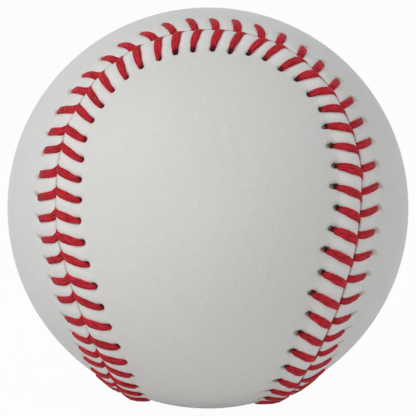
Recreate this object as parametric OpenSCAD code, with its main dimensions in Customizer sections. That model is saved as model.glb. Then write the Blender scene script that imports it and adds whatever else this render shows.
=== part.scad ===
// A stitched leather ball with its cork and rubber pill, its yarn windings and its two-piece cover.
// The origin is the ball's centre. The front lobe of the cover faces -Y and its tip is towards +Z.
// Each half of the cover is narrowest at a pole: the front half at -Z, the back half at +Z.

/* [Ball] */
// Distance round the leather where it lies smooth
ball_girth = 228.6; // [222:0.2:236]

/* [Pill] */
// Diameter of the cork ball in the middle
cork_d = 20.6; // [18:0.2:24]
// Wall of the two black rubber cups
cup_wall = 4; // [2.5:0.1:5]
// Thickness of the ring that parts the black cups
washer_t = 1.6; // [0.8:0.1:3]
// Wall of the red rubber layer
jacket_wall = 2.4; // [1.5:0.1:3.5]

/* [Windings] */
// Depth of the white three-ply yarn
second_yarn_t = 1.8; // [1:0.1:3]
// Depth of the grey three-ply yarn
third_yarn_t = 2.2; // [1:0.1:3.5]
// Depth of the finishing yarn
finish_yarn_t = 0.6; // [0.3:0.1:1.2]
// Thickness of the rubber cement under the cover
cement_t = 0.15; // [0.1:0.05:0.4]

/* [Cover] */
// Thickness of the leather
leather_t = 1.3; // [1:0.05:1.8]
// Width of the cover's waist, along the leather
waist_w = 29.5; // [24:0.5:34]
// How far the seam swings to each side of an even sweep, in degrees
seam_swing = 21.6; // [16:0.2:26]
// How full the lobes are, in degrees
lobe_fullness = 2.2; // [0:0.1:5]
// Height of the seam above the smooth leather
seam_rise = 0.9; // [0.4:0.05:1.2]
// Reach of the raised leather on each side of the seam
rise_reach = 4.4; // [3:0.2:6]
// Gap between the two edges at the seam
seam_gap = 0.3; // [0.1:0.05:0.6]
// Depth of the groove at the seam
seam_groove = 0.45; // [0.2:0.05:0.7]

/* [Stitches] */
// Number of double stitches round the seam
stitch_count = 108; // [80:2:120]
// Distance from the seam to the row of holes
hole_setback = 5.8; // [4.6:0.1:7]
// Distance by which each hole lies behind the point where its stitch meets the seam
stitch_slant = 1.1; // [0:0.1:2]
// Diameter of an awl hole
hole_d = 1.5; // [1.2:0.1:2]
// Width of the flattened thread
thread_w = 1.35; // [0.8:0.05:1.6]
// Thickness of the flattened thread
thread_t = 0.6; // [0.4:0.05:0.9]
// Clearance all round the thread where it stands in its hole
hole_clear = 0.2; // [0.1:0.05:0.4]
// Rise of a stitch over its chord
stitch_arch = 0.3; // [0.2:0.05:0.8]

/* [Hidden] */
$fn = 96;

// Radii from the outside in, and from the middle out
ball_r = ball_girth / (2 * PI);
flesh_r = ball_r - leather_t;
finish_r = flesh_r - cement_t;
third_r = finish_r - finish_yarn_t;
second_r = third_r - third_yarn_t;
first_r = second_r - second_yarn_t;
cork_r = cork_d / 2;
cup_r = cork_r + cup_wall;
pill_r = cup_r + jacket_wall;
overrun = 1;

// Turns an arc length on the smooth leather into degrees
function arc_deg(len) = len / ball_r * 180 / PI;
function unit(v) = v / norm(v);
function wrap(x, span) = x - span * floor(x / span);
function smooth_share(x) = (1 + cos(180 * min(1, max(0, x)))) / 2;

// The seam's path over a unit ball, for t from 0 to 360. Its front tip is at 225 and its back tip at 45.
waist_deg = arc_deg(waist_w / 2);
tip_t = 225;
function seam_lat(t) = (90 - waist_deg + lobe_fullness) * sin(2 * t) + lobe_fullness * sin(6 * t);
function seam_lon(t) = 45 + t - seam_swing * sin(4 * t);
function seam_dir(t) = [
    cos(seam_lat(t)) * cos(seam_lon(t)),
    cos(seam_lat(t)) * sin(seam_lon(t)),
    sin(seam_lat(t))
];

// Pairs of length along the seam and t, which turn an even step along the seam into a place on it
walk_steps = 720;
walk_step = 360 / walk_steps;
seam_walk = [
    for (
        i = 0, len = 0;
        i <= walk_steps;
        len = len + ball_r * norm(seam_dir((i + 1) * walk_step) - seam_dir(i * walk_step)), i = i + 1
    ) [len, i * walk_step]
];
seam_len = seam_walk[walk_steps][0];
pitch = seam_len / stitch_count;
tip_len = seam_len * tip_t / 360;
function seam_at(len) = seam_dir(lookup(wrap(len, seam_len), seam_walk));

// A direction at length len along the seam and set off sideways into the front half of the cover
function off_seam(len, off) = let(
    here = seam_at(len),
    ahead = unit(seam_at(len + pitch / 8) - seam_at(len - pitch / 8)),
    side = unit(cross(ahead, here))
) here * cos(arc_deg(off)) + side * sin(arc_deg(off));

// The stitches stand past the tip by half a pitch and this share of one
stitch_phase_share = -0.28;
// The leather under a stitch keeps this share of the seam's rise
dip_share = 0.7;
// Rows of points across the raised leather, as shares of the setback of the holes
row_shares = [0.14, 0.38, 0.68, 1, 1.5];
row_offs = concat([seam_gap / 2], row_shares * hole_setback);
last_row = len(row_offs) - 1;
// Two columns to a stitch: the even ones puff up between stitches and the odd ones dip under them
columns = 2 * stitch_count;
// Points along each rung that crosses the smooth leather
rung_points = 9;
rungs = columns / 2 - 1;

// Columns lean back with the stitches as far as the holes, and stand even again at the last row
function lean(off) = off <= hole_setback
    ? stitch_phase_share * pitch - stitch_slant * off / hole_setback
    : (stitch_phase_share * pitch - stitch_slant) * (row_offs[last_row] - off)
        / (row_offs[last_row] - hole_setback);
function rise(off, col) = seam_rise * smooth_share(off / rise_reach) * (col % 2 == 0 ? 1 : dip_share);
function row_point(row, col) = let(
    off = row_offs[row],
    drop = row == 0 ? seam_groove : 0
) off_seam(tip_len + col * pitch / 2 + lean(off), off) * (ball_r + rise(off, col) - drop);

// Points of the smooth leather, on great circles from side to side
function slerp(a, b, f) = let(w = acos(a * b)) (sin((1 - f) * w) * a + sin(f * w) * b) / sin(w);
function edge_dir(col) = off_seam(tip_len + col * pitch / 2, row_offs[last_row]);
function rung_point(rung, i) =
    slerp(edge_dir(rung), edge_dir(columns - rung), i / (rung_points + 1)) * ball_r;

// Point numbers: the rows, then the rungs, then the centre
function row_id(row, col) = row * columns + wrap(col, columns);
function rung_id(rung, i) = i == 0 ? row_id(last_row, rung)
    : i == rung_points + 1 ? row_id(last_row, columns - rung)
    : (last_row + 1) * columns + (rung - 1) * rung_points + i - 1;
centre_id = (last_row + 1) * columns + rungs * rung_points;

cover_points = concat(
    [for (row = [0:last_row]) for (col = [0:columns - 1]) row_point(row, col)],
    [for (rung = [1:rungs]) for (i = [1:rung_points]) rung_point(rung, i)],
    [[0, 0, 0]]
);
function quad(a, b, c, d) = [[a, b, c], [a, c, d]];
cover_faces = concat(
    [for (row = [0:last_row - 1]) for (col = [0:columns - 1])
        each quad(row_id(row, col), row_id(row, col + 1), row_id(row + 1, col + 1), row_id(row + 1, col))],
    [for (rung = [1:rungs - 1]) for (i = [0:rung_points])
        each quad(rung_id(rung, i), rung_id(rung + 1, i), rung_id(rung + 1, i + 1), rung_id(rung, i + 1))],
    [for (i = [0:rung_points]) [row_id(last_row, 0), rung_id(1, i), rung_id(1, i + 1)]],
    [for (i = [0:rung_points]) [row_id(last_row, rungs + 1), rung_id(rungs, i + 1), rung_id(rungs, i)]],
    [for (col = [0:columns - 1]) [row_id(0, col + 1), row_id(0, col), centre_id]]
);

// Places of the stitches along the seam, and the directions of their holes
stitch_lens = [for (k = [0:stitch_count - 1]) tip_len + (k + 0.5 + stitch_phase_share) * pitch];
function hole_dir(len) = off_seam(len - stitch_slant, hole_setback);

// Turns +Z to a direction
module face_along(dir) {
    rotate([0, acos(dir[2]), atan2(dir[1], dir[0])]) children();
}

module shell(outer_r, inner_r) {
    difference() {
        sphere(r = outer_r);
        sphere(r = inner_r);
    }
}

// The part of its children on the +Z side of a plane at height z
module above(z, reach) {
    intersection() {
        children();
        translate([-reach, -reach, z]) cube([2 * reach, 2 * reach, reach]);
    }
}

module cork_core() {
    color("burlywood") sphere(r = cork_r);
}

module inner_cup() {
    above(washer_t / 2, cup_r + overrun) shell(cup_r, cork_r);
}

module inner_rubber_upper() {
    color("dimgray") inner_cup();
}

module inner_rubber_lower() {
    color("dimgray") mirror([0, 0, 1]) inner_cup();
}

module rubber_washer() {
    color("firebrick") intersection() {
        shell(cup_r, cork_r);
        cylinder(h = washer_t, r = cup_r + overrun, center = true);
    }
}

// The red layer is parted across the cups' own parting
module jacket_half() {
    above(0, pill_r + overrun) shell(pill_r, cup_r);
}

module outer_rubber_left() {
    color("indianred") rotate([0, -90, 0]) jacket_half();
}

module outer_rubber_right() {
    color("indianred") rotate([0, 90, 0]) jacket_half();
}

module wool_winding_first() {
    color("gray") shell(first_r, pill_r);
}

module wool_winding_second() {
    color("ivory") shell(second_r, first_r);
}

module wool_winding_third() {
    color("darkgray") shell(third_r, second_r);
}

module finishing_winding() {
    color("white") shell(finish_r, third_r);
}

module cement_film() {
    color("wheat") shell(flesh_r, finish_r);
}

// The front half of the cover, with its raised seam edge and its row of awl holes
module cover_half() {
    difference() {
        polyhedron(points = cover_points, faces = cover_faces, convexity = 6);
        sphere(r = flesh_r, $fn = 300);
        for (len = stitch_lens) face_along(hole_dir(len))
            translate([0, 0, flesh_r - overrun])
                cylinder(h = leather_t + 2 * overrun, d = hole_d);
    }
}

// The flattened section of the thread, as shares of its thickness and its width
thread_shares = [
    [-0.5, -0.3], [-0.5, 0.3], [-0.15, 0.5], [0.15, 0.5],
    [0.5, 0.3], [0.5, -0.3], [0.15, -0.5], [-0.15, -0.5]
];

// The thread's middle line stands this share of its thickness above the leather at each end
lift_share = 0.58;
thread_lift = lift_share * thread_t;

// One leg, from its hole over the raised leather to the seam, with its shank down the hole
module stitch_leg(len) {
    from = hole_dir(len) * (ball_r + thread_lift);
    to = off_seam(len, seam_gap) * (ball_r + dip_share * seam_rise + thread_lift);
    chord = norm(to - from);
    bend_r = chord * chord / (8 * stitch_arch) + stitch_arch / 2;
    middle = (from + to) / 2;
    across = unit(cross(to - from, middle));
    outward = unit(cross(across, to - from));
    centre = middle - outward * (bend_r - stitch_arch);
    start = unit(from - centre);
    sweep = 2 * asin(chord / 2 / bend_r);
    side = cross(-across, start);
    multmatrix([
        [start[0], side[0], -across[0], centre[0]],
        [start[1], side[1], -across[1], centre[1]],
        [start[2], side[2], -across[2], centre[2]]
    ])
        rotate_extrude(angle = sweep)
            polygon([for (share = thread_shares) [bend_r + share[0] * thread_t, share[1] * thread_w]]);
    face_along(hole_dir(len)) translate([0, 0, flesh_r])
        cylinder(h = leather_t + thread_lift, d = hole_d - 2 * hole_clear);
}

module half_stitches() {
    for (len = stitch_lens) stitch_leg(len);
}

// The back half is the front half turned a quarter and mirrored, with the stitches on the same way round
module to_back() {
    mirror([0, 0, 1]) rotate([0, 0, 90]) children();
}

module cover_front() {
    color("whitesmoke") cover_half();
}

module cover_back() {
    color("gainsboro") to_back() cover_half();
}

module stitches_front() {
    color("crimson") half_stitches();
}

module stitches_back() {
    color("firebrick") to_back() half_stitches();
}

cork_core();
inner_rubber_upper();
inner_rubber_lower();
rubber_washer();
outer_rubber_left();
outer_rubber_right();
wool_winding_first();
wool_winding_second();
wool_winding_third();
finishing_winding();
cement_film();
cover_front();
cover_back();
stitches_front();
stitches_back();
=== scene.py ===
import math

import bmesh
import bpy
import numpy as np
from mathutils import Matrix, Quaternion, Vector


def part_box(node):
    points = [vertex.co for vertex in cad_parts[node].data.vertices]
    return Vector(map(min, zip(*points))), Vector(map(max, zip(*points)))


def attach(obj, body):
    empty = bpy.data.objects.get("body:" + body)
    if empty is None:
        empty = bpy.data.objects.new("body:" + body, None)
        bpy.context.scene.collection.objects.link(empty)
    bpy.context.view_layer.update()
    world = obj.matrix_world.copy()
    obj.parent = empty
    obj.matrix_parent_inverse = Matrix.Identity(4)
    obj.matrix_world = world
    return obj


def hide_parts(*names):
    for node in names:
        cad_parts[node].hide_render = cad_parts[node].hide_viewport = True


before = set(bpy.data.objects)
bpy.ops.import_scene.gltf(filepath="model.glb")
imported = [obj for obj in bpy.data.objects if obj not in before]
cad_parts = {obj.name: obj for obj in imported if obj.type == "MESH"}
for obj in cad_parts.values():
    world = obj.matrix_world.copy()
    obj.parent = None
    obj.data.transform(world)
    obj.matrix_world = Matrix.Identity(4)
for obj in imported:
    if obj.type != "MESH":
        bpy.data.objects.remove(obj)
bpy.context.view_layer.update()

mm = 0.001

# the seam, the same curve as in the part's source, in mm on the smooth leather
seam = {
    "girth": 228.6,  # round the smooth leather
    "waist": 29.5,  # narrowest width of a cover half
    "swing": 21.6,  # degrees the seam sways about an even sweep
    "fullness": 2.2,  # degrees, how full the lobes are
    "frontTip": 225,  # where the front lobe's tip is on the curve
    "stitches": 108,
    "phase": -0.28,  # stitches stand past the tip by half a pitch and this share more
    "turnToBack": 27,  # stitches between the front half's tip and the back half's
    "samples": 2881,  # points that its length is measured through
}
stitches = seam["stitches"]
ballRadius = seam["girth"] / (2 * math.pi)
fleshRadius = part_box("cement_film")[1][2] / mm


def unit(v):
    return v / np.linalg.norm(v, axis=-1, keepdims=True)


def seamDirection(t):
    waistDegrees = math.degrees(seam["waist"] / 2 / ballRadius)
    a = np.radians(t)
    reach = 90 - waistDegrees + seam["fullness"]
    lat = np.radians(reach * np.sin(2 * a) + seam["fullness"] * np.sin(6 * a))
    lon = np.radians(45 + t - seam["swing"] * np.sin(4 * a))
    return np.stack([np.cos(lat) * np.cos(lon), np.cos(lat) * np.sin(lon), np.sin(lat)], axis=-1)


walkTurns = np.linspace(0, 360, seam["samples"])
walkSteps = np.linalg.norm(np.diff(seamDirection(walkTurns), axis=0), axis=1) * ballRadius
walkLengths = np.concatenate([[0], np.cumsum(walkSteps)])
seamLength = walkLengths[-1]
pitch = seamLength / stitches
tipLength = seamLength * seam["frontTip"] / 360


def seamAt(length):
    return seamDirection(np.interp(np.mod(length, seamLength), walkLengths, walkTurns))


def offSeam(length, off):
    # the direction at a length along the seam and set off sideways into the cover half
    here = seamAt(length)
    ahead = unit(seamAt(length + pitch / 8) - seamAt(length - pitch / 8))
    side = unit(np.cross(ahead, here))
    angle = (off / ballRadius)[..., None]
    return here * np.cos(angle) + side * np.sin(angle)


def toBack(points):
    # the back half is the front half turned a quarter and mirrored
    return np.stack([-points[..., 1], points[..., 0], -points[..., 2]], axis=-1)


def smoothStep(x, low, high):
    share = np.clip((x - low) / (high - low), 0, 1)
    return share * share * (3 - 2 * share)


# The two rows of stitch legs, in mm, by rings from the hole to the seam: trailing edge (along the
# seam, off it), leading edge (along, off), height of its middle over the leather, half its thickness
frontLegs = {
    "rings": [
        (-1.20, 5.80, -0.36, 5.82, -1.15, 0.20),
        (-1.26, 5.66, -0.26, 5.68, -0.34, 0.27),
        (-1.32, 5.26, -0.16, 5.34, 0.12, 0.31),
        (-1.28, 4.30, 0.06, 4.45, 0.24, 0.33),
        (-1.05, 3.10, 0.55, 3.20, 0.28, 0.34),
        (-0.66, 1.70, 0.78, 2.00, 0.27, 0.34),
        (-0.22, 0.62, 1.02, 0.85, 0.18, 0.31),
        (0.02, 0.10, 1.40, 0.26, -0.04, 0.22),
        (0.12, -0.08, 1.70, 0.02, -0.75, 0.10),
    ],
    "hole": (-0.84, 5.44),  # along and off, middle of the awl hole
    "holeSize": (0.56, 0.40),  # half its length along and off
    "slide": 0.16,  # how far an open hole slides to one side of the thread
    "reach": 1.25,  # how far an open hole reaches past the thread
    "dome": 0.42,  # how far the leather swells between the seam and the holes
    "openFrom": 8, "openTo": 32,  # stitches whose holes stand open past the thread
    "seed": 11,
}
backLegs = {
    "rings": [
        (-1.42, 5.90, -0.46, 5.86, -1.15, 0.20),
        (-1.50, 5.84, -0.38, 5.80, -0.50, 0.27),
        (-1.54, 5.70, -0.33, 5.66, 0.10, 0.31),
        (-1.48, 4.80, -0.22, 4.80, 0.22, 0.32),
        (-1.36, 3.40, -0.06, 3.40, 0.27, 0.33),
        (-1.26, 2.10, 0.08, 2.10, 0.27, 0.33),
        (-1.18, 0.90, 0.16, 0.95, 0.20, 0.31),
        (-1.16, 0.22, 0.18, 0.26, -0.02, 0.24),
        (-1.16, -0.10, 0.14, -0.06, -0.75, 0.10),
    ],
    "hole": (-0.95, 6.00),
    "holeSize": (0.36, 0.40),
    "slide": 0.16,
    "reach": 0.85,
    "dome": 0.10,
    "openFrom": 84, "openTo": 112,
    "seed": 23,
}
openHoles = {
    "inRun": 0.65,  # how far the holes of the open run stand open, as a share
    "byChance": 0.35,  # the most that each hole adds of its own
    "runEnds": 2,  # stitches over which the run starts and ends
    "shutSlide": 0.35,  # share of its slide that a shut hole has
    "outward": 0.6,  # share of the reach that an open hole's middle moves off the seam
    "longer": 0.55,  # share of the reach that it grows by each way
    "turnOver": 5,  # stitches from the front tip over which the open side changes
}
handwork = {
    "stretch": 0.028,  # share by which the stitches round the front lobe are set wider than the mean
    "along": 0.12,  # how far stitches stray along the seam where the photo doesn't show them, mm
    "hole": 0.18,  # how far their holes stray
    "width": 0.06,  # share by which the thread's width strays
    "holdTo": 6.4,  # mm off the seam, past which the strays die away
    "seed": 5,
  # How far the sewing strays where the photo shows it, in tenths of a mm, stitch by stitch
    # clockwise from the one below: along the seam, off it into the front half, and how far the
  # holes lie back from there, front and back. These rows weren't chosen by hand: another
    # program fitted them to the photo.
    "seenFrom": -26,
    "seamAlong": [
        7, 15, 22, 21, 21, 20, 8, 3, 6, 14, 8, 11, 6, 6, 5, 4, 8, 1, 5, 4, 1, 4, 3, 7, 4, 3, 1, 0, 5, -3, 1,
        -1, 1, 0, 0, -1, 0, 2, 2, 0, 1, 1, 5, 6, 7, 7, 6, 18, 15, 13, 8, 4],
    "seamOff": [
        4, 7, 11, 11, 12, 15, 12, 10, 11, 9, 8, 6, 1, 3, 5, 3, 2, -1, 3, 2, -1, 2, -1, 3, 0, 2, 1, -3, -4,
        -11, -9, -4, -8, -5, -5, -5, -7, -2, -1, -3, -4, -2, -6, -5, -6, -9, -3, -7, -7, -6, -4, -2],
    "frontAlong": [
        -9, -17, -26, -20, -20, -18, -6, -5, -5, -14, -8, -11, -6, -6, -7, -7, -11, -3, -5, -8, -4, -6, -5,
        -7, -6, -6, 0, 1, -4, -1, -4, -2, -2, -1, -3, 0, 0, -1, -1, 1, -1, 1, -4, -5, -7, -6, -4, -13, -11,
        -9, -6, -3],
    "frontOff": [
        0, -1, -1, -3, -3, -2, 3, 2, 2, 2, 4, -1, -2, -2, 0, -1, -2, -7, -7, -5, -6, -3, -6, -1, -2, -2, -1,
        1, -8, -9, -5, -15, -10, -13, -10, -9, -8, -3, -9, -4, 2, -5, 3, -10, -6, -11, -15, -17, -13, -11,
        -7, -3],
    "backAlong": [
        -13, -25, -38, -36, -29, -15, -4, 3, 1, -2, 4, 1, 6, 5, 5, 7, 6, 7, 3, 6, 2, 1, -1, -3, -1, 0, 0, -3,
        -11, 1, -3, -2, -4, -4, -4, -6, -5, -10, -9, -4, -4, 0, -1, 5, 4, 8, 23, 33, 36, 30, 20, 9],
    "backOff": [
        -6, -13, -19, -19, -19, -18, -21, -22, -20, -20, -20, -20, -15, -13, -11, -12, -13, -12, -11, -19,
        -15, -19, -14, -14, -6, -6, -12, -6, -5, -1, -6, -9, -11, -8, -12, -7, -11, -7, -9, -12, -10, -9, -9,
        -9, -7, -4, 2, 6, 0, 0, 0, 0],
}

# Tables by stitches from the front tip, in mm or shares. The cut: how far one corner of a back
# leg's end reaches past the other, the leading one above zero and the trailing one below.
backCut = {"at": [-54, -26, -17, -13, -9, -6, -2, 2, 10, 16, 24, 54],
           "reach": [-0.1, 0.5, 0.5, 0.2, -0.25, -0.5, -0.4, -0.15, -0.1, -0.35, -0.5, -0.12],
           "from": 3.2, "over": 2}
# how far a back leg sweeps along the seam into the front leg's tip: its leading and trailing edges
backSweep = {"at": [-54, -26, -20, -9, -6, 0, 54], "reach": [0, 0.5, 1.0, 1.0, 0.7, 0, 0],
             "heel": [0, 0.3, 0.35, 0.35, 0, 0, 0], "nearSeam": (-0.2, 1.3)}
# how little of the stain and painted shade at the hole each leg shows
paleEndLegs = {"at": [-54, -22, -17, -12, -5, -3, -2, 2, 5, 8, 13, 18, 54],
             "share": [0.5, 0.8, 0.35, 0.3, 0.4, 0.0, -0.5, -0.5, -0.3, 0.0, 0.15, 0.7, 0.5]}
# how plainly the seam stands open: hardly on the left, more on the right
seamGap = {"at": [-54, -30, -3, 6, 30, 54], "share": [0.6, 0.2, 0.25, 0.9, 1.0, 0.6]}


def strayTable(seed, spread):
    return np.random.default_rng(seed).normal(0, spread, stitches)


def seenOver(title, seed, spread):
    # the strays that the photo shows, and even ones of chance for the other stitches
    table = strayTable(seed, spread)
    seen = np.arange(len(handwork[title])) + handwork["seenFrom"]
    table[seen % stitches] = np.array(handwork[title]) / 10
    return table


def aboutTip(number):
    # from half a round before the tip to half a round after it
    return (number + stitches / 2) % stitches - stitches / 2


def wideSet():
    # the stitches stand wider round the front lobe, and the unseen ones make up for it
    reach = -handwork["seenFrom"]
    number = aboutTip(np.arange(stitches) + 0.5)
    most = reach * pitch * handwork["stretch"]
    rest = stitches / 2 - reach
    inner = number / reach * most
    outer = np.sign(number) * (stitches / 2 - np.abs(number)) / rest * most
    return np.where(np.abs(number) <= reach, inner, outer)


def straysOf(legs):
    # for each stitch of a half: along and off at the seam, along and off at the hole
    seed = handwork["seed"]
    along = seenOver("seamAlong", seed, handwork["along"]) + wideSet()
    off = seenOver("seamOff", seed + 1, handwork["along"])
    side = "back" if legs is backLegs else "front"
    holeAlong = along + seenOver(side + "Along", seed + 2, handwork["hole"])
    holeOff = seenOver(side + "Off", seed + 3, handwork["hole"])
    if legs is backLegs:
        return [np.roll(t, -seam["turnToBack"]) for t in (along, -off, holeAlong, holeOff)]
    return [along, off, holeAlong, holeOff]


def fromFrontTip(legs):
    # each stitch's number counted from the front tip
    return aboutTip(np.arange(stitches) + (seam["turnToBack"] if legs is backLegs else 0))


def readTable(legs, table, key):
    return np.interp(fromFrontTip(legs), table["at"], table[key])


def openSide(legs):
    # the side of the thread that its hole opens on: 1 is the leading side, -1 the trailing one
    if legs is backLegs:
        return np.sign(readTable(legs, backCut, "reach"))
    return -np.clip(fromFrontTip(legs) / openHoles["turnOver"], -1, 1)


def stitchAt(turns):
    return np.floor(turns).astype(int) % stitches


def legShape(legs, off):
    # the thread's middle along the seam and half its width, at a distance off the seam
    rings = np.array(legs["rings"])[1:-1][::-1]
    offs = (rings[:, 1] + rings[:, 3]) / 2
    return (np.interp(off, offs, (rings[:, 0] + rings[:, 2]) / 2),
            np.interp(off, offs, (rings[:, 2] - rings[:, 0]) / 2))


# the two halves of the leather cover, in mm
leather = {
    "columnsPerStitch": 16,
    "rows": [0.008, 0.10, 0.20, 0.34, 0.52, 0.75, 1.05, 1.4, 1.8, 2.25, 2.75, 3.25, 3.75, 4.2, 4.6, 4.95,
             5.25, 5.5, 5.75, 6.0, 6.25, 6.5, 6.8, 7.2, 7.8, 8.6, 9.6],
    "fleshRows": [0.5, 3.0, 6.0, 9.6],
    "outerCuts": 23,
    "fleshCuts": 7,
    "smoothFrom": 7.0,
    "rise": 0.34,  # the leather over the seam, under the thread
    "riseReach": 4.6,
    "domeReach": 5.3,
    "domeShape": (0.9, 1.3),  # how far its top leans to the seam, and how sharp it is
    "puff": 0.34,  # the pillows between the stitches
    "puffFull": (1.3, 3.2),
    "puffReach": 6.4,
    "puffRound": 0.3,
    "puffStray": 0.14,
    "besideThread": (-0.42, 0.28),
    "groove": 0.34,  # where the edges turn down into the seam
    "grooveReach": 0.42,
    "pitDepth": 0.45,
    "pitWall": (0.55, 1.25),  # in shares of the hole
    "pull": 0.10,  # how far each hole is drawn in
    "pullReach": 2.6,
    "mapScale": 10,  # mm off the seam to a whole unit of the map
}
perStitch = leather["columnsPerStitch"]
columns = perStitch * stitches
firstRow, lastRow = leather["rows"][0], leather["rows"][-1]


def strayAt(legs, turns, off):
    # how far the work strays at a place, along and off: stitches stand at whole numbers and a half
    marks = np.arange(-1, stitches + 1) + 0.5
    index = np.arange(-1, stitches + 1) % stitches
    seamAlong, seamOff, holeAlong, holeOff = (np.interp(turns, marks, t[index]) for t in straysOf(legs))
    share = np.clip(off / legs["hole"][1], 0, 1)
    hold = 1 - smoothStep(off, handwork["holdTo"], lastRow)
    along = seamAlong * (1 - share) + holeAlong * share
    return along * hold, (seamOff * (1 - share) + holeOff * share) * hold


def holeAt(legs, turns):
    # the awl hole of the stitch at a place: along from the thread's middle, off, half its length
    number = stitchAt(turns)
    ends = openHoles["runEnds"]
    inRun, past = (smoothStep(turns, legs[k] - ends, legs[k] + ends) for k in ("openFrom", "openTo"))
    own = np.random.default_rng(legs["seed"] + 2).uniform(0, openHoles["byChance"], stitches)[number]
    openness = np.clip(openHoles["inRun"] * (inRun * (1 - past)) + own, 0, 1)
    slid = openHoles["shutSlide"] + (1 - openHoles["shutSlide"]) * openness
    holeAlong, holeOff = legs["hole"]
    along = holeAlong - legShape(legs, holeOff)[0] + legs["slide"] * (openSide(legs)[number] * slid)
    outward, longer = (legs["reach"] * openHoles[k] * openness for k in ("outward", "longer"))
    return along, holeOff + outward, legs["holeSize"][1] + longer


def leatherHeight(legs, turns, off, pits=True):
    # turns counts stitches from the tip, its whole numbers are midway between two legs
    across = (turns - np.floor(turns) - 0.5) * pitch
    number = stitchAt(turns)
    ridge = (1 + np.cos(np.pi * np.clip(off / leather["riseReach"], 0, 1))) / 2
    half = legShape(legs, off)[1]
    beside = smoothStep(np.abs(across), *(half + d for d in leather["besideThread"]))
    dome = np.cos(np.pi * (1 - np.abs(across) / (pitch / 2))) ** 2
    dome = 1 - leather["puffRound"] + leather["puffRound"] * dome
    full, fullTo = leather["puffFull"]
    reach = smoothStep(off, 0, full) * (1 - smoothStep(off, fullTo, leather["puffReach"]))
    vigour = 1 + strayTable(legs["seed"] + 1, leather["puffStray"])[number]
    lean, sharp = leather["domeShape"]
    swell = np.sin(np.pi * np.clip(off / leather["domeReach"], 0, 1) ** lean) ** sharp
    height = leather["rise"] * ridge + legs["dome"] * swell + leather["puff"] * reach * beside * dome * vigour
    turnedIn = 1 - smoothStep(off, 0.0, leather["grooveReach"])
    height -= leather["groove"] * turnedIn * readTable(legs, seamGap, "share")[number]
    if pits:
  # the awl hole and the dimple round it
        holeAlong, holeOff, sizeOff = holeAt(legs, turns)
        fromHole = np.hypot((across - holeAlong) / legs["holeSize"][0], (off - holeOff) / sizeOff)
        height -= leather["pull"] * np.exp(-((fromHole / leather["pullReach"]) ** 2))
        height -= leather["pitDepth"] * (1 - smoothStep(fromHole, *leather["pitWall"]))
    return height * (1 - smoothStep(off, leather["smoothFrom"], leather["rows"][-2]))


def placeAt(legs, turns, off):
    # columns lean with the legs as far as the holes, and stand even at the last row
    hold = 1 - smoothStep(off, handwork["holdTo"], lastRow)
    lean = (seam["phase"] * pitch + legShape(legs, off)[0]) * hold
    strayAlong, strayOff = strayAt(legs, turns, off)
    return offSeam(tipLength + turns * pitch + lean + strayAlong, off + strayOff)


def extrudeRow(bm, edges):
    # one more row from a closed row of edges: its points and its edges
    made = bmesh.ops.extrude_edge_only(bm, edges=edges)["geom"]
    verts = {g for g in made if isinstance(g, bmesh.types.BMVert)}
    return verts, [g for g in made if isinstance(g, bmesh.types.BMEdge) and verts.issuperset(g.verts)]


def copyMaster(bm, count, numberOf):
    # copies of what is there, each one's points numbered, until there are as many as the count
    master = bm.verts[:] + bm.edges[:] + bm.faces[:]
    for number in range(1, count):
        for made in bmesh.ops.duplicate(bm, geom=master)["geom"]:
            if isinstance(made, bmesh.types.BMVert):
                made[numberOf] = number


def placeVerts(verts, spots):
    for vert, spot in zip(verts, spots):
        vert.co = spot


def addMesh(bm, name):
    mesh = bpy.data.meshes.new(name)
    bm.to_mesh(mesh)
    bm.free()
    return addObject(name, mesh)


def addObject(name, data):
    made = bpy.data.objects.new(name, data)
    bpy.context.scene.collection.objects.link(made)
    return made


def finishPiece(bm, name, materials, attributes):
    for face in bm.faces:
        face.smooth = True
    building = bm.verts.layers.float.keys() + bm.verts.layers.int.keys()
    piece = addMesh(bm, name)
    for layer in building:
        piece.data.attributes.remove(piece.data.attributes[layer])
    for key, values in attributes.items():
        made = piece.data.attributes.new(key, "FLOAT", "POINT")
        made.data.foreach_set("value", np.asarray(values, dtype=np.float32))
    for material in materials:
        piece.data.materials.append(material)
    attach(piece, "root")
    return piece


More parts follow.
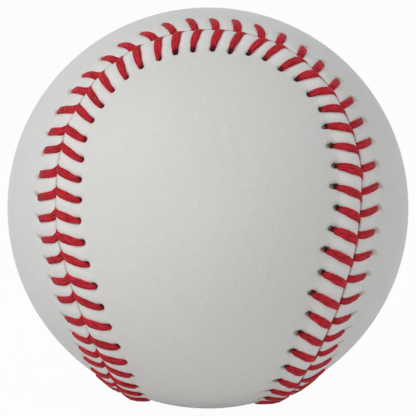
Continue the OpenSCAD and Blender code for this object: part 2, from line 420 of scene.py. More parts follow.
def makeCover(name, legs, materials):
    bm = bmesh.new()
    layers = [bm.verts.layers.float.new(key) for key in ("column", "off", "depth", "rung", "across")]
    columnOf, offOf, depthOf, rungOf, acrossOf = layers
    half = columns // 2

    def grow(edges, off, depth):
  # one more row of leather from a closed row of edges
        verts, edges = extrudeRow(bm, edges)
        for vert in verts:
            vert[offOf] = off
            vert[depthOf] = depth
        return edges

    def fill(edges, cuts, radius):
  # rungs from side to side over the smooth leather inside the last row
        verts = sorted({v for e in edges for v in e.verts}, key=lambda v: v[columnOf])
        lengths = tipLength + np.arange(columns) * pitch / perStitch
        placeVerts(verts, offSeam(lengths, np.full(columns, lastRow)) * radius)
        for column, vert in enumerate(verts):
            vert[rungOf] = column if column <= half else columns - column
            vert[acrossOf] = 0 if column <= half else 1
        edgeSet = set(edges)
        left = [e for e in edgeSet if all(1 <= round(v[columnOf]) <= half - 1 for v in e.verts)]
        right = [e for e in edgeSet if all(half + 1 <= round(v[columnOf]) for v in e.verts)]
        bmesh.ops.bridge_loops(bm, edges=left + right)
        for tip in (0, half):
            bmesh.ops.contextual_create(bm, geom=[verts[tip], verts[(tip + 1) % columns], verts[tip - 1]])
        rungs = [bm.edges.get((verts[rung], verts[columns - rung])) for rung in range(1, half)]
        assert all(rungs), name + " has a rung that doesn't meet its other side"
        bmesh.ops.subdivide_edges(bm, edges=rungs, cuts=cuts, use_grid_fill=True)

    bmesh.ops.create_circle(bm, segments=columns, radius=1)
    for number, vert in enumerate(bm.verts):
        vert[columnOf] = number
        vert[offOf] = firstRow
    seamEdges = edges = bm.edges[:]
    for off in leather["rows"][1:]:
        edges = grow(edges, off, 0)
    fill(edges, leather["outerCuts"], ballRadius)
    outer = set(bm.faces)
    edges = grow(seamEdges, firstRow, 0.5)
    edges = grow(edges, firstRow, 1)
    for off in leather["fleshRows"]:
        edges = grow(edges, off, 1)
    fill(edges, leather["fleshCuts"], fleshRadius)
    for face in bm.faces:
        face.material_index = 0 if face in outer else 1

    # every point's place from its column, its distance from the seam and its depth
    verts = bm.verts[:]
    column, off, depth, rung, across = (np.array([v[layer] for v in verts]) for layer in layers)
    turns = column / perStitch
    inside = (across > 1e-4) & (across < 1 - 1e-4)
    outerRadius = ballRadius + leatherHeight(legs, turns, off)
    radius = outerRadius + (fleshRadius - outerRadius) * depth
    spots = placeAt(legs, turns, off) * radius[:, None]
    lastOff = np.full(len(verts), lastRow)
    start, end = (offSeam(tipLength + way * rung * pitch / perStitch, lastOff) for way in (1, -1))
    angle = np.arccos(np.clip((start * end).sum(axis=1), -1, 1))
    sine = np.where(angle > 1e-6, np.sin(angle), 1)
    near, far = (np.sin(share * angle)[:, None] for share in (1 - across, across))
    arc = (start * near + end * far) / sine[:, None]
    smoothRadius = np.where(depth > 0.5, fleshRadius, ballRadius)
    spots[inside] = (unit(arc) * smoothRadius[:, None])[inside]
    placeVerts(verts, (toBack(spots) if legs is backLegs else spots) * mm)
    uvLayer = bm.loops.layers.uv.new("stitchMap")
    bm.verts.index_update()
    for face in bm.faces:
        wraps = len({round(v[columnOf]) for v in face.verts} & {0, columns - 1}) == 2
        for loop in face.loops:
            spot = loop.vert.index
            if inside[spot]:
                loop[uvLayer].uv = (rung[spot] / perStitch, 0.9)
            else:
                lap = stitches if wraps and column[spot] < half else 0
                loop[uvLayer].uv = (turns[spot] + lap, off[spot] / leather["mapScale"])
    bmesh.ops.recalc_face_normals(bm, faces=bm.faces[:])
    holeAlong, holeOff, holeLong = holeAt(legs, turns)
    number = stitchAt(turns)
    return finishPiece(bm, name, materials, {
        "holeAlong": holeAlong, "holeOff": holeOff, "holeLong": holeLong,
        "holeSide": openSide(legs)[number], "gap": readTable(legs, seamGap, "share")[number]})


# the red stitches
thread = {
    "spokes": 8,
    "flatness": 0.62,  # below 1 the thread's section is squarer than an ellipse
    "seamFloor": 0.35,  # mm off the seam, where the floor under its tip is read
    "dive": (0.5, 0.5),  # rings further than this from the leather dive, and how far they turn upright
    "mapMargin": 0.02,
}


def makeLegs(name, legs, materials):
    bm = bmesh.new()
    layers = [bm.verts.layers.int.new(key) for key in ("ring", "spoke", "leg")]
    ringOf, spokeOf, legOf = layers
    spokes = thread["spokes"]
    bmesh.ops.create_circle(bm, segments=spokes, radius=1)
    for number, vert in enumerate(bm.verts):
        vert[spokeOf] = number
    ends = edges = bm.edges[:]
    for ring in range(1, len(legs["rings"])):
        verts, edges = extrudeRow(bm, edges)
        for vert in verts:
            vert[ringOf] = ring
    bmesh.ops.contextual_create(bm, geom=ends)
    bmesh.ops.contextual_create(bm, geom=edges)
    copyMaster(bm, stitches, legOf)

    # the rings of every leg, laid over the leather
    rings = np.array(legs["rings"])
    turns = np.arange(stitches)[:, None] + 0.5 + np.zeros(len(rings))
    joint = tipLength + (turns + seam["phase"]) * pitch
    widen = 1 + strayTable(legs["seed"] + 3, handwork["width"])[:, None]
    middleAlong = (rings[:, 0] + rings[:, 2]) / 2
    halfAlong = (rings[:, 2] - rings[:, 0]) / 2
    middleOff = (rings[:, 1] + rings[:, 3]) / 2
    offs = middleOff + 0 * turns
    halfOff = (rings[:, 3] - rings[:, 1]) / 2 + 0 * turns
    if legs is backLegs:
        cut = readTable(legs, backCut, "reach")[:, None]
        halfOff = halfOff + cut * np.clip(middleOff - backCut["from"], 0, backCut["over"]) / backCut["over"]
        nearSeam = 1 - smoothStep(middleOff, *backSweep["nearSeam"])
        sweep, heel = (readTable(legs, backSweep, k)[:, None] * nearSeam for k in ("reach", "heel"))
        middleAlong = middleAlong + (sweep + heel) / 2
        halfAlong = halfAlong + (sweep - heel) / 2
    strayAlong, strayOff = strayAt(legs, turns, np.maximum(offs, 0))
    floor = leatherHeight(legs, turns, np.maximum(offs, thread["seamFloor"]), pits=False)
    radius = ballRadius + floor + rings[:, 4]
    trailing, leading = (
        offSeam(joint + middleAlong + sign * halfAlong * widen + strayAlong, offs + sign * halfOff + strayOff)
        * radius[..., None] for sign in (-1, 1))
    middle = (trailing + leading) / 2
    halfWidth = (leading - trailing) / 2
    outward = unit(np.cross(np.gradient(middle, axis=1), halfWidth))
    outward *= np.sign((outward * middle).sum(axis=-1, keepdims=True))
  # the last rings dive, so they keep an outward direction blended with the ball's own
    divesAt, upright = thread["dive"]
    dive = (np.abs(rings[:, 4]) > divesAt)[None, :, None] * upright
    outward = unit(outward * (1 - dive) + unit(middle) * dive)

    verts = bm.verts[:]
    ring, spoke, leg = (np.array([v[layer] for v in verts]) for layer in layers)
    angle = spoke * 2 * math.pi / spokes + math.pi / spokes
    wide, high = (np.sign(way) * np.abs(way) ** thread["flatness"] for way in (np.cos(angle), np.sin(angle)))
    spots = (middle[leg, ring] + halfWidth[leg, ring] * wide[:, None]
             + outward[leg, ring] * (high * rings[ring, 5])[:, None])
    placeVerts(verts, (toBack(spots) if legs is backLegs else spots) * mm)
  # the map runs across the thread and along it, one whole number to a leg
    stretch = np.concatenate([[0], np.cumsum(np.linalg.norm(np.diff(middle[0], axis=0), axis=1))])
    margin = thread["mapMargin"]
    share = stretch / stretch[-1]
    uvLayer = bm.loops.layers.uv.new("threadMap")
    bm.verts.index_update()
    for face in bm.faces:
        for loop in face.loops:
            spot = loop.vert.index
            along = leg[spot] + margin + (1 - 2 * margin) * share[ring[spot]]
            loop[uvLayer].uv = (0.5 + 0.5 * wide[spot], along)
    bmesh.ops.recalc_face_normals(bm, faces=bm.faces[:])
    return finishPiece(bm, name, materials, {
        "holeSide": openSide(legs)[leg], "paleEnd": readTable(legs, paleEndLegs, "share")[leg]})


def paint(red, green, blue):
    # a colour as it is seen on screen, from 0 to 255, to the values that a socket takes
    shares = [c / 255 for c in (red, green, blue)]
    return [((s + 0.055) / 1.055) ** 2.4 if s > 0.04 else s / 12.92 for s in shares] + [1]


def put(made, inputs):
    for key, value in inputs.items():
        if isinstance(value, bpy.types.NodeSocket):
            made.id_data.links.new(value, made.inputs[key])
        else:
            made.inputs[key].default_value = value
    return made


def addNode(tree, kind, inputs=None, **settings):
    made = tree.nodes.new("ShaderNode" + kind)
    for key, value in settings.items():
        setattr(made, key, value)
    return put(made, inputs or {})


def treeOf(values):
    # a socket knows the tree that it is in, so the helpers below aren't given one
    return next(v.id_data for v in values if isinstance(v, bpy.types.NodeSocket))


def calc(operation, *values):
    return addNode(treeOf(values), "Math", dict(enumerate(values)), operation=operation).outputs[0]


def plus(first, second):
    return calc("ADD", first, second)


def minus(first, second):
    return calc("SUBTRACT", first, second)


def times(first, second):
    return calc("MULTIPLY", first, second)


def timesPlus(first, second, third):
    return calc("MULTIPLY_ADD", first, second, third)


def fade(value, low, high, start=0, end=1):
    return addNode(value.id_data, "MapRange", {
        "Value": value, "From Min": low, "From Max": high, "To Min": start, "To Max": end,
    }, interpolation_type="SMOOTHSTEP").outputs["Result"]


def mixColour(share, first, second):
    first, second = (c if isinstance(c, bpy.types.NodeSocket) else paint(*c) for c in (first, second))
    return addNode(share.id_data, "Mix", {0: share, 6: first, 7: second}, data_type="RGBA").outputs[2]


def scaled(vector, factor):
    return addNode(vector.id_data, "VectorMath", {0: vector, "Scale": factor}, operation="SCALE").outputs[0]


def noise(place, scale, detail, distortion=0.0):
    return addNode(place.id_data, "TexNoise", {
        "Vector": place, "Scale": scale, "Detail": detail, "Distortion": distortion}).outputs["Fac"]


def strewn(place, scale):
    # cells of chance: how far a place is from its cell's middle, and numbers of the cell's own
    cells = addNode(place.id_data, "TexVoronoi", {"Vector": place, "Scale": scale}).outputs
    return cells["Distance"], addNode(place.id_data, "SeparateColor", {0: cells["Color"]}).outputs


def chanceOf(number):
    return addNode(number.id_data, "TexWhiteNoise", {"W": number}, noise_dimensions="1D").outputs["Value"]


def bumpOf(height, distance, normal=None):
    made = addNode(height.id_data, "Bump", {"Height": height, "Strength": 1.0, "Distance": distance})
    return put(made, {"Normal": normal} if normal else {}).outputs["Normal"]


def stored(tree, title):
    return addNode(tree, "Attribute", attribute_name=title).outputs["Fac"]


def mapOf(tree, title):
    uv = addNode(tree, "UVMap", uv_map=title).outputs["UV"]
    return addNode(tree, "SeparateXYZ", {0: uv}).outputs


def newGroup(name, inputs, outputs):
    tree = bpy.data.node_groups.new(name, "ShaderNodeTree")
    for title, value in inputs.items():
        kind = "NodeSocketVector" if value is None else "NodeSocketFloat"
        socket = tree.interface.new_socket(name=title, in_out="INPUT", socket_type=kind)
        if value is not None:
            socket.default_value = value
    for title in outputs:
        tree.interface.new_socket(name=title, in_out="OUTPUT", socket_type="NodeSocketFloat")
    return tree, tree.nodes.new("NodeGroupInput").outputs, tree.nodes.new("NodeGroupOutput")


def useGroup(group, inputs):
    return addNode(treeOf(inputs.values()), "Group", inputs, node_tree=group).outputs


def newMaterial(name, sockets):
    material = bpy.data.materials.new(name)
    material.use_nodes = True
    tree = material.node_tree
    return material, tree, put(tree.nodes["Principled BSDF"], sockets)


def objectPlaces(tree):
    return addNode(tree, "TexCoord").outputs["Object"]


# an uneven tone: soft noise, put out as a factor near 1
toneDrift, entry, leave = newGroup("toneDrift", {"Vector": None, "Scale": 60, "Amount": 0.05}, ["Factor"])
low = minus(noise(entry["Vector"], entry["Scale"], 3.0), 0.5)
put(leave, {"Factor": timesPlus(times(low, 2.0), entry["Amount"], 1.0)})

# leather, rubber and cement are pebbled: cells with soft borders under a finer noise
pebbles, entry, leave = newGroup("pebbles", {"Vector": None, "Scale": 1500, "Fine": 0.4}, ["Height"])
cellSize = {"Vector": entry["Vector"], "Scale": entry["Scale"]}
cells = addNode(pebbles, "TexVoronoi", cellSize, feature="SMOOTH_F1")
fine = noise(entry["Vector"], times(entry["Scale"], 2.2), 4.0)
put(leave, {"Height": timesPlus(fine, entry["Fine"], cells.outputs["Distance"])})

# thread and yarn: plies twisted together, with fibres along them; the Shade output is painted shade, dark in
# the grooves between the plies
plies, entry, leave = newGroup(
    "plies", {"Across": 0.5, "Along": 0.0, "Plies": 3.0, "Twist": 1.0, "Vector": None}, ["Height", "Shade"])
turned = timesPlus(entry["Along"], entry["Twist"], times(entry["Across"], entry["Plies"]))
wave = calc("ABSOLUTE", calc("SINE", times(turned, math.pi)))
fibres = noise(entry["Vector"], 1.0, 3.0)
put(leave, {"Height": timesPlus(fibres, 0.6, wave),
            "Shade": times(calc("POWER", wave, 0.5), timesPlus(fibres, 1.0, 0.5))})


def drift(place, scale, amount):
    return useGroup(toneDrift, {"Vector": place, "Scale": scale, "Amount": amount})["Factor"]


def pebbled(place, scale, fineShare):
    return useGroup(pebbles, {"Vector": place, "Scale": scale, "Fine": fineShare})["Height"]


# the leather's colours, and its patterns: a scale alone, or with the share or the depth in metres
leatherLook = {
    "pillow": (227, 227, 225), "pillowFade": (7.4, 4.6), "seamLine": (172, 150, 132),
    "seamLineFade": (0.45, 0.10), "speck": (92, 84, 80), "specks": 160.0, "ragged": 1500.0, "mottle": 2600.0,
    "blotches": (45.0, 0.022), "fineTone": (700.0, 0.028), "grain": (2300.0, 0.00004),
    "creases": (260.0, 0.00018),
}
# the stain round the hole, partly real stain and partly painted shade of the leather's dent there, lies at:
# from the hole to its open side, off the seam, and how much wider it is
frontLook = {
    **leatherLook, "smooth": (221, 221, 219), "hole": (74, 56, 46), "holeEdge": (172, 156, 142),
    "holeStainAndShade": (176, 166, 158), "holeStainAndShadeStrength": 0.5, "holeStainAndShadeAt": (0.22, 0.0, 0.32),
}
backLook = {
    **leatherLook, "smooth": (221, 221, 220), "hole": (160, 142, 122), "holeEdge": (184, 168, 150),
    "holeStainAndShade": (178, 162, 144), "holeStainAndShadeStrength": 0.8, "holeStainAndShadeAt": (0.40, 0.46, 0.14),
}


def leatherMaterial(name, legs, look):
    material, tree, shader = newMaterial(name, {"Roughness": 0.5, "Specular IOR Level": 0.2})
    place = objectPlaces(tree)
    parts = mapOf(tree, "stitchMap")
    ragged = minus(noise(place, look["ragged"], 2.0), 0.5)
    along = times(minus(calc("FRACT", parts["X"]), 0.5), pitch)
    off = times(parts["Y"], leather["mapScale"])
    holeAlong, holeOff, holeLong, side, gap = (
        stored(tree, title) for title in ("holeAlong", "holeOff", "holeLong", "holeSide", "gap"))

    def reachOf(middleAlong, halfAlong, longer, beyond, raggedness):
  # 0 in the middle of a spot at the hole and 1 on its ragged rim
        x = calc("DIVIDE", minus(along, middleAlong), halfAlong)
        y = calc("DIVIDE", minus(minus(off, holeOff), beyond), plus(holeLong, longer))
        return timesPlus(ragged, raggedness, calc("SQRT", plus(times(x, x), times(y, y))))

    halfAlong = legs["holeSize"][0]
    # the awl hole's mask: its colour is painted shade inside the hole
    hole = fade(reachOf(holeAlong, halfAlong, 0.0, 0.0, 1.1), 1.12, 0.72)
    aside, beyond, wider = look["holeStainAndShadeAt"]
    # a brownish patch by the hole: partly stain, partly painted shade of the dent the hole draws in
    holeStainAndShade = fade(reachOf(timesPlus(side, aside, holeAlong), halfAlong + wider, 0.25, beyond, 0.6), 1.4, 0.2)
    nearSeam = fade(timesPlus(ragged, 0.8, off), *look["pillowFade"])
    colour = mixColour(nearSeam, look["smooth"], look["pillow"])
    colour = mixColour(times(holeStainAndShade, look["holeStainAndShadeStrength"]), colour, look["holeStainAndShade"])
  # the hole is painted dark as painted shade inside the pit, darkest at the thread and on the side where it
  # opens, and mottled further out
    outward = fade(minus(off, holeOff), -0.25, 0.35)
    outward = times(outward, fade(times(minus(along, holeAlong), side), 0.45, -0.05, 0.45, 1.0))
    mottle = fade(noise(place, look["mottle"], 1.0), 0.36, 0.56)
    colour = mixColour(hole, colour, mixColour(times(outward, mottle), look["hole"], look["holeEdge"]))
    line = fade(timesPlus(ragged, 0.3, off), *look["seamLineFade"])
    colour = mixColour(times(line, timesPlus(gap, 0.8, 0.2)), colour, look["seamLine"])
  # a few dark specks, no bigger than a pore
    fromSpeck, chance = strewn(place, look["specks"])
    speck = times(fade(fromSpeck, 0.035, 0.02), fade(chance[0], 0.93, 0.95))
    colour = mixColour(times(speck, 0.55), colour, look["speck"])
    grainScale, grainDepth = look["grain"]
    creaseScale, creaseDepth = look["creases"]
    creases = noise(place, creaseScale, 5.0, 0.6)
    put(shader, {
        "Base Color": scaled(colour, times(drift(place, *look["blotches"]), drift(place, *look["fineTone"]))),
        "Normal": bumpOf(creases, creaseDepth, bumpOf(pebbled(place, grainScale, 0.5), grainDepth)),
        "Roughness": fade(creases, 0.3, 0.7, 0.46, 0.56)})
    return material


def suedeMaterial():
    # the flesh side and the cut edges
    material, tree, shader = newMaterial("fleshSide", {"Roughness": 0.92, "Specular IOR Level": 0.15})
    place = objectPlaces(tree)
    nap = noise(place, 1400.0, 6.0, 1.2)
    colour = mixColour(nap, (176, 160, 138), (214, 203, 184))
    put(shader, {"Base Color": scaled(colour, drift(place, 90.0, 0.10)), "Normal": bumpOf(nap, 0.00018)})
    return material


frontLeather = leatherMaterial("frontLeather", frontLegs, frontLook)
backLeather = leatherMaterial("backLeather", backLegs, backLook)
suede = suedeMaterial()
coverFront = makeCover("cover_front_leather", frontLegs, [frontLeather, suede])
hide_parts("cover_front")
coverBack = makeCover("cover_back_leather", backLegs, [backLeather, suede])
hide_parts("cover_back")
print("covers:", len(coverFront.data.polygons), len(coverBack.data.polygons), "faces")

# the thread's colours, and how far along it the stain and painted shade reach from the hole, as shares of its
# length
backThreadLook = {
    "plies": 3.0, "twist": 0.7, "groove": (144, 16, 28), "crest": (208, 42, 56), "fibre": (222, 96, 106),
    "paleSpot": (232, 206, 204), "bump": 0.00009, "darkEnd": False,
}
frontThreadLook = {
    **backThreadLook, "groove": (146, 16, 28), "crest": (212, 42, 56), "fibre": (224, 96, 106),
    "darkEnd": True, "endStainAndShade": (96, 8, 16), "endStainAndShadeFade": (0.13, 0.22), "black": (46, 18, 17),
    "blackFade": (0.06, 0.135),
}


def threadMaterial(name, look):
    material, tree, shader = newMaterial(name, {"Specular IOR Level": 0.15, "Roughness": 0.65})
    parts = mapOf(tree, "threadMap")
    across, along, leg = parts["X"], calc("FRACT", parts["Y"]), calc("FLOOR", parts["Y"])
    own = chanceOf(leg)

    def drawnOut(perWidth, perLength):
  # noise places that are long along the thread and narrow across it, new for each leg
        return addNode(tree, "CombineXYZ", {0: timesPlus(across, perWidth, times(along, 1.2)),
                                            1: times(along, perLength), 2: times(leg, 3.7)}).outputs[0]

    ply = useGroup(plies, {"Across": across, "Along": along, "Plies": look["plies"], "Twist": look["twist"],
                           "Vector": drawnOut(12.0, 8.0)})
    streaks = noise(drawnOut(6.5, 5.5), 1.0, 3.0)
    shade = timesPlus(fade(ply["Shade"], 0.2, 1.0), 0.22, times(fade(streaks, 0.36, 0.62), 0.78))
    # the groove colour is painted shade between the plies
    colour = mixColour(shade, look["groove"], look["crest"])
  # pale fibres that stand off the ply, and tiny pale spots
    fibres = noise(drawnOut(24.0, 12.0), 1.0, 2.0)
    colour = mixColour(fade(fibres, 0.58, 0.74, 0, 0.45), colour, look["fibre"])
    fromSpot, chance = strewn(drawnOut(12.0, 5.0), 0.9)
    chosen = times(fade(fromSpot, 0.18, 0.10), fade(chance[0], 0.972, 0.98))
    colour = mixColour(times(chosen, 0.7), colour, look["paleSpot"])
    if look["darkEnd"]:
  # the end that goes into the hole is darkened, partly stain and partly painted shade of the hole, more on
  # the side where the hole opens
        edge = timesPlus(times(minus(across, 0.5), stored(tree, "holeSide")), -0.10, along)
        edge = timesPlus(stored(tree, "paleEnd"), 0.09, edge)
        edge = timesPlus(minus(own, 0.5), 0.03, edge)
        edge = timesPlus(minus(streaks, 0.5), 0.10, edge)
        # the dark red is partly dye and partly painted shade, and the near-black is painted shade where the
        # thread goes into the hole
        for endStainAndShade in ("endStainAndShade", "black"):
            colour = mixColour(fade(edge, *look[endStainAndShade + "Fade"], 1, 0), colour, look[endStainAndShade])
    put(shader, {"Base Color": scaled(colour, timesPlus(own, 0.14, 0.93)),
                 "Normal": bumpOf(timesPlus(streaks, 1.2, ply["Height"]), look["bump"])})
    return material


frontThread = threadMaterial("redThreadFront", frontThreadLook)
backThread = threadMaterial("redThreadBack", backThreadLook)
stitchesFront = makeLegs("stitches_front_thread", frontLegs, [frontThread])
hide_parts("stitches_front")
stitchesBack = makeLegs("stitches_back_thread", backLegs, [backThread])
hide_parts("stitches_back")
print("stitches:", len(stitchesFront.data.polygons), len(stitchesBack.data.polygons), "faces")

# The windings under the leather, each over the one before: widths and heights of the yarn in mm,
# and its look. A bundle is a few turns laid side by side.
anyYarn = {
    "sides": 6, "cuts": 60, "bundle": 4, "beside": 0.92, "tilt": 0.02, "underCuts": 5, "clear": 1.001,
    "plies": 3.0, "bump": 0.00022, "fuzz": 0.25,
}
windings = {
    "wool_winding_first": {
        **anyYarn, "slot": "grey_wool", "turns": 100, "width": 2.6, "height": 1.5, "depth": 2.2, "seed": 31,
        "groove": (70, 69, 70), "crest": (140, 138, 136), "stray": (196, 192, 186), "strays": 0.8,
        "plies": 4.0, "twist": 62.0, "bump": 0.00030},
    "wool_winding_second": {
        **anyYarn, "slot": "white_wool", "turns": 104, "width": 2.2, "height": 0.8, "depth": 0.8, "seed": 37,
        "groove": (176, 170, 156), "crest": (232, 228, 216), "stray": (150, 142, 130), "strays": 0.5,
        "twist": 76.0},
    "wool_winding_third": {
        **anyYarn, "slot": "dark_grey_wool", "turns": 108, "width": 2.2, "height": 0.9, "depth": 1.0,
        "seed": 41, "groove": (52, 53, 55), "crest": (112, 112, 114), "stray": (170, 168, 165),
        "strays": 0.7, "twist": 80.0},
    "finishing_winding": {
        **anyYarn, "slot": "finishing_yarn", "turns": 240, "bundle": 8, "sides": 4, "width": 1.1,
        "height": 0.3, "depth": 0.24, "seed": 43, "groove": (188, 184, 176), "crest": (240, 238, 232),
        "stray": (214, 206, 192), "strays": 0.4, "plies": 2.0, "twist": 240.0, "bump": 0.00008,
        "fuzz": 0.1},
}


def yarnAngles(place, yarn, reach):
    # shares of a whole turn: round the yarn, and along it round the ball
    outward = (math.hypot(place.x, place.y) - reach) / yarn["height"]
    about, along = math.atan2(place.z / yarn["width"], outward), math.atan2(place.y, place.x)
    return about / (2 * math.pi), along / (2 * math.pi)


def makeWinding(node, below, yarn, material):
    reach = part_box(node)[1][2] / mm - yarn["height"] / 2
    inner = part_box(below)[1][2] / mm
    bm = bmesh.new()
    turnOf = bm.verts.layers.int.new("turn")
  # one turn of the yarn about the vertical axis
    bmesh.ops.create_circle(bm, segments=yarn["sides"], radius=0.5)
    upright = Quaternion((1, 0, 0), math.pi / 2).to_matrix()
    bmesh.ops.rotate(bm, verts=bm.verts[:], cent=(0, 0, 0), matrix=upright)
    bmesh.ops.scale(bm, verts=bm.verts[:], vec=(yarn["height"], 1, yarn["width"]))
    bmesh.ops.translate(bm, verts=bm.verts[:], vec=(reach, 0, 0))
    bmesh.ops.spin(bm, geom=bm.verts[:] + bm.edges[:], cent=(0, 0, 0), axis=(0, 0, 1), angle=2 * math.pi,
                   steps=yarn["cuts"], use_merge=True)
    bmesh.ops.recalc_face_normals(bm, faces=bm.faces[:])
  # the map runs once round the yarn and once along the turn
    uvLayer = bm.loops.layers.uv.new("yarnMap")
    for face in bm.faces:
        middle = yarnAngles(face.calc_center_median(), yarn, reach)
        for loop in face.loops:
            angles = yarnAngles(loop.vert.co, yarn, reach)
            loop[uvLayer].uv = [m + (a - m + 0.5) % 1 - 0.5 for m, a in zip(middle, angles)]
    copyMaster(bm, yarn["turns"], turnOf)
  # later turns lie over earlier ones, in bundles that cross each other every way, spread
    # evenly round the ball by the golden angle
    chance = np.random.default_rng(yarn["seed"])
    bundles = -(-yarn["turns"] // yarn["bundle"])
    order = chance.permutation(bundles)
    poses, moves = [], []
    for turn in range(yarn["turns"]):
        bundle, step = divmod(turn, yarn["bundle"])
        height = (order[bundle] + 0.5) / bundles
        longitude = order[bundle] * math.pi * (3 - math.sqrt(5))
        wide = math.sqrt(1 - height * height)
        axis = Vector((wide * math.cos(longitude), wide * math.sin(longitude), height))
        axis.rotate(Quaternion(axis.orthogonal().normalized(), chance.normal(0, yarn["tilt"])))
        aside = (step - (yarn["bundle"] - 1) / 2) * yarn["width"] * yarn["beside"]
        layer = reach - yarn["depth"] * (1 - turn / (yarn["turns"] - 1))
        spin = Quaternion((0, 0, 1), chance.uniform(0, 2 * math.pi)).to_matrix()
        turned = np.array(axis.to_track_quat("Z", "Y").to_matrix() @ spin)
        poses.append(turned * math.sqrt(layer * layer - aside * aside) / reach)
        moves.append(np.array(axis) * aside)
    verts = bm.verts[:]
    turns = np.array([v[turnOf] for v in verts])
    places = np.array([v.co for v in verts])
    spots = np.einsum("nij,nj->ni", np.array(poses)[turns], places) + np.array(moves)[turns]
    placeVerts(verts, spots * mm)
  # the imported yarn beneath, and the hollow that the layer under it fills
    for radius in (reach - yarn["depth"], inner * yarn["clear"]):
        ball = bmesh.ops.create_icosphere(bm, subdivisions=yarn["underCuts"], radius=radius * mm)["verts"]
        for vert in ball:
            vert[turnOf] = -1
    bmesh.ops.reverse_faces(bm, faces=list({f for v in ball for f in v.link_faces}))
    turns = [v[turnOf] for v in bm.verts]
    piece = finishPiece(bm, node + "_yarn", [material], {"turnNumber": turns})
    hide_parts(node)
    return piece


def yarnMaterial(name, look):
    material, tree, shader = newMaterial(name, {
        "Roughness": 0.95, "Specular IOR Level": 0.1, "Sheen Weight": look["fuzz"], "Sheen Roughness": 0.6})
    place = objectPlaces(tree)
    parts = mapOf(tree, "yarnMap")
    turn = stored(tree, "turnNumber")
    ply = useGroup(plies, {
        "Across": parts["X"], "Along": parts["Y"], "Plies": look["plies"], "Twist": look["twist"],
        "Vector": scaled(place, 2400.0)})
    # the groove colour is painted shade between the plies
    colour = mixColour(fade(ply["Shade"], 0.2, 1.0), look["groove"], look["crest"])
  # the imported yarn beneath shows as uneven bands, dark and light like painted shade in grooves between
  # turns
    bands = addNode(tree, "TexWave", {"Vector": place, "Scale": 314 / look["width"], "Distortion": 7.0,
                                      "Detail": 2.0, "Detail Scale": 0.4}).outputs["Fac"]
    colour = mixColour(fade(turn, -0.9, -0.6, 1, 0), colour, mixColour(bands, look["groove"], look["crest"]))
  # wool is spun from waste, with stray fibres of other shades
    strays = noise(place, 3200.0, 3.0, 1.5)
    colour = mixColour(fade(strays, 0.62, 0.7, 0, look["strays"]), colour, look["stray"])
    tone = times(drift(place, 120.0, 0.10), timesPlus(chanceOf(turn), 0.22, 0.86))
    # the yarn beneath is painted darker, as painted shade under the turns
    tone = times(tone, fade(turn, -1.0, 0.0, 0.75, 1.0))
    put(shader, {"Base Color": scaled(colour, tone), "Normal": bumpOf(ply["Height"], look["bump"])})
    return material


below = "outer_rubber_left"
for node, yarn in windings.items():
    wound = makeWinding(node, below, yarn, yarnMaterial(node + "Wool", yarn))
    below = node
    print(node + ":", len(wound.data.polygons), "faces")


def dress(material, *nodes):
    # the pill in the middle and the cement keep their shape
    for node in nodes:
        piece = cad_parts[node]
        if not piece.material_slots:
            piece.data.materials.append(material)
        for slot in piece.material_slots:
            slot.material = material


def corkMaterial():
    # granules of cork pressed together with a dark binder
    material, tree, shader = newMaterial("pressedCork", {"Roughness": 0.85, "Specular IOR Level": 0.2})
    place = objectPlaces(tree)
    warp = addNode(tree, "TexNoise", {"Vector": place, "Scale": 900.0, "Detail": 2.0}).outputs["Color"]
    warped = addNode(tree, "VectorMath", {0: warp, 1: (0.0006, 0.0006, 0.0006), 2: place},
                     operation="MULTIPLY_ADD").outputs[0]
    granuleScale = 720.0
    shades = strewn(warped, granuleScale)[1]
    grid = {"Vector": warped, "Scale": granuleScale}
    borders = addNode(tree, "TexVoronoi", grid, feature="DISTANCE_TO_EDGE")
    colour = mixColour(shades[0], (142, 98, 60), (205, 163, 114))
    colour = mixColour(fade(shades[1], 0.8, 0.84), colour, (92, 60, 38))
    pores = noise(place, 2600.0, 3.0)
    colour = mixColour(fade(pores, 0.58, 0.68, 0, 0.6), colour, (84, 56, 36))
    border = fade(borders.outputs["Distance"], 0.05, 0.015)
    put(shader, {"Base Color": mixColour(times(border, 0.85), colour, (52, 36, 26)),
                 "Normal": bumpOf(minus(times(pores, -0.5), border), 0.00012),
                 "Roughness": fade(pores, 0.3, 0.7, 0.75, 0.95)})
    return material


def rubberMaterial(name, look):
    # moulded rubber with a dusty bloom, flow marks and fine pits
    material, tree, shader = newMaterial(name, {"Specular IOR Level": 0.35})
    place = objectPlaces(tree)
    bloom = noise(place, 210.0, 5.0, 1.4)
    colour = mixColour(fade(bloom, 0.38, 0.72), look["deep"], look["bloom"])
    colour = mixColour(fade(noise(place, 3400.0, 2.0), 0.62, 0.72, 0, 0.6), colour, look["dust"])
    put(shader, {"Base Color": scaled(colour, drift(place, 80.0, 0.08)),
                 "Normal": bumpOf(bloom, 0.00010, bumpOf(pebbled(place, 1900.0, 0.8), 0.00004)),
                 "Roughness": fade(bloom, 0.3, 0.7, *look["rough"])})
    return material


def cementMaterial():
    # rubber cement brushed on: thick and amber in places, thin and dull in others
    material, tree, shader = newMaterial("tackyCement", {"Specular IOR Level": 0.5})
    place = objectPlaces(tree)
    strings = noise(place, 110.0, 6.0, 1.0)
    beads = pebbled(place, 900.0, 0.6)
    colour = mixColour(fade(strings, 0.36, 0.66), (226, 214, 178), (202, 176, 118))
    put(shader, {"Base Color": mixColour(fade(beads, 0.7, 1.1, 0, 0.35), colour, (238, 230, 208)),
                 "Normal": bumpOf(strings, 0.00020, bumpOf(beads, 0.00005)),
                 "Roughness": fade(strings, 0.36, 0.66, 0.55, 0.22)})
    return material


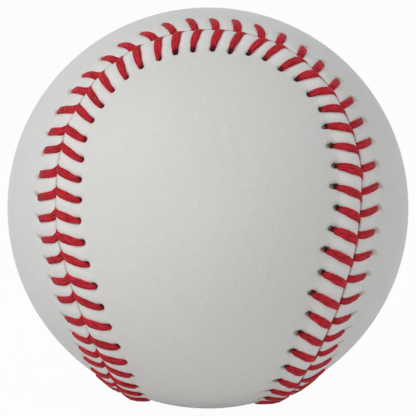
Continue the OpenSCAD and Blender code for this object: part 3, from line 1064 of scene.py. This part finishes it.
blackRubber = rubberMaterial("blackRubber", {
    "deep": (24, 24, 26), "bloom": (52, 52, 55), "dust": (92, 92, 94), "rough": (0.5, 0.72)})
redRubber = rubberMaterial("redRubber", {
    "deep": (140, 34, 28), "bloom": (176, 66, 54), "dust": (206, 128, 112), "rough": (0.55, 0.78)})
dress(corkMaterial(), "cork_core")
dress(blackRubber, "inner_rubber_upper", "inner_rubber_lower")
dress(redRubber, "rubber_washer", "outer_rubber_left", "outer_rubber_right")
dress(cementMaterial(), "cement_film")
print("pill and cement are dressed")

# floor and light
studio = {
    "world": 0.37,
    "floorSize": 3,  # metres from the middle to an edge
    "floorShow": 0.96,  # how much of the floor's white the camera sees without its shadow
    "floorTone": 0.86,
    "lamps": {  # place in metres, size, watts and colour
        "keyLamp": ((-0.75, -0.55, 0.75), 0.7, 5.8, (1.0, 1.0, 1.0)),
        "rimLamp": ((1.0, 0.3, 0.4), 0.7, 1.65, (0.95, 0.965, 1.0)),
        "lowLamp": ((0.0, -1.2, 0.1), 0.6, 2.9, (1.0, 0.975, 0.94)),
    },
}


def showsAsBackground(tree):
    # 1 for what the camera, a mirror or glass sees, and 0 for what lights the ball
    path = addNode(tree, "LightPath").outputs
    seen = plus(path["Is Camera Ray"], path["Is Glossy Ray"])
    return calc("MINIMUM", plus(seen, path["Is Transmission Ray"]), 1.0)


def blend(tree, share, first, second, out):
    both = addNode(tree, "MixShader", {0: share, 1: first.outputs[0], 2: second.outputs[0]})
    addNode(tree, out, {"Surface": both.outputs[0]})


def makeWorld():
    world = bpy.data.worlds.new("studio")
    bpy.context.scene.world = world
    world.use_nodes = True
    tree = world.node_tree
    tree.nodes.clear()
    lit = addNode(tree, "Background", {"Color": (1, 1, 1, 1), "Strength": studio["world"]})
    seen = addNode(tree, "Background", {"Color": (1, 1, 1, 1), "Strength": 1.0})
    blend(tree, showsAsBackground(tree), lit, seen, "OutputWorld")


def makeFloor():
    bm = bmesh.new()
    bmesh.ops.create_grid(bm, x_segments=2, y_segments=2, size=studio["floorSize"])
    bmesh.ops.translate(bm, verts=bm.verts[:], vec=(0, 0, -ballRadius * mm))
    floor = addMesh(bm, "floor")
    material = bpy.data.materials.new("paleFloor")
    material.use_nodes = True
    tree = material.node_tree
    tree.nodes.clear()
    tone = studio["floorTone"]
    paper = addNode(tree, "BsdfDiffuse", {"Color": (tone, tone, tone, 1)})
    glow = addNode(tree, "Emission", {"Color": (1, 1, 1, 1), "Strength": 1.0})
    blend(tree, times(showsAsBackground(tree), studio["floorShow"]), paper, glow, "OutputMaterial")
    floor.data.materials.append(material)


def makeLight(name, place, size, power, colour):
    light = bpy.data.lights.new(name, "AREA")
    light.shape = "SQUARE"
    light.size = size
    light.energy = power
    light.color = colour
    holder = addObject(name, light)
    holder.location = place
    holder.rotation_euler = (-Vector(place)).to_track_quat("-Z", "Y").to_euler()


makeWorld()
makeFloor()
for lamp, values in studio["lamps"].items():
    makeLight(lamp, *values)

lens = {
    "azimuth": 0.4, "elevation": 8.8, "roll": 1.7,  # degrees
    "distance": 12.8,  # ball radii from the middle
    "focal": 221.4, "sensor": 36,  # mm
    "clip": (0.01, 20),
}


def makeCamera():
    data = bpy.data.cameras.new("camera")
    data.lens = lens["focal"]
    data.sensor_width = lens["sensor"]
    data.clip_start, data.clip_end = lens["clip"]
    holder = addObject("camera", data)
    az, el, roll = (math.radians(lens[k]) for k in ("azimuth", "elevation", "roll"))
    toward = Vector((math.sin(az) * math.cos(el), -math.cos(az) * math.cos(el), math.sin(el)))
    holder.location = toward * lens["distance"] * ballRadius * mm
    holder.rotation_mode = "QUATERNION"
    holder.rotation_quaternion = toward.to_track_quat("Z", "Y") @ Quaternion((0, 0, 1), roll)
    bpy.context.scene.camera = holder


makeCamera()
bpy.context.scene.view_settings.view_transform = "Standard"
print("floor, light and camera are in")
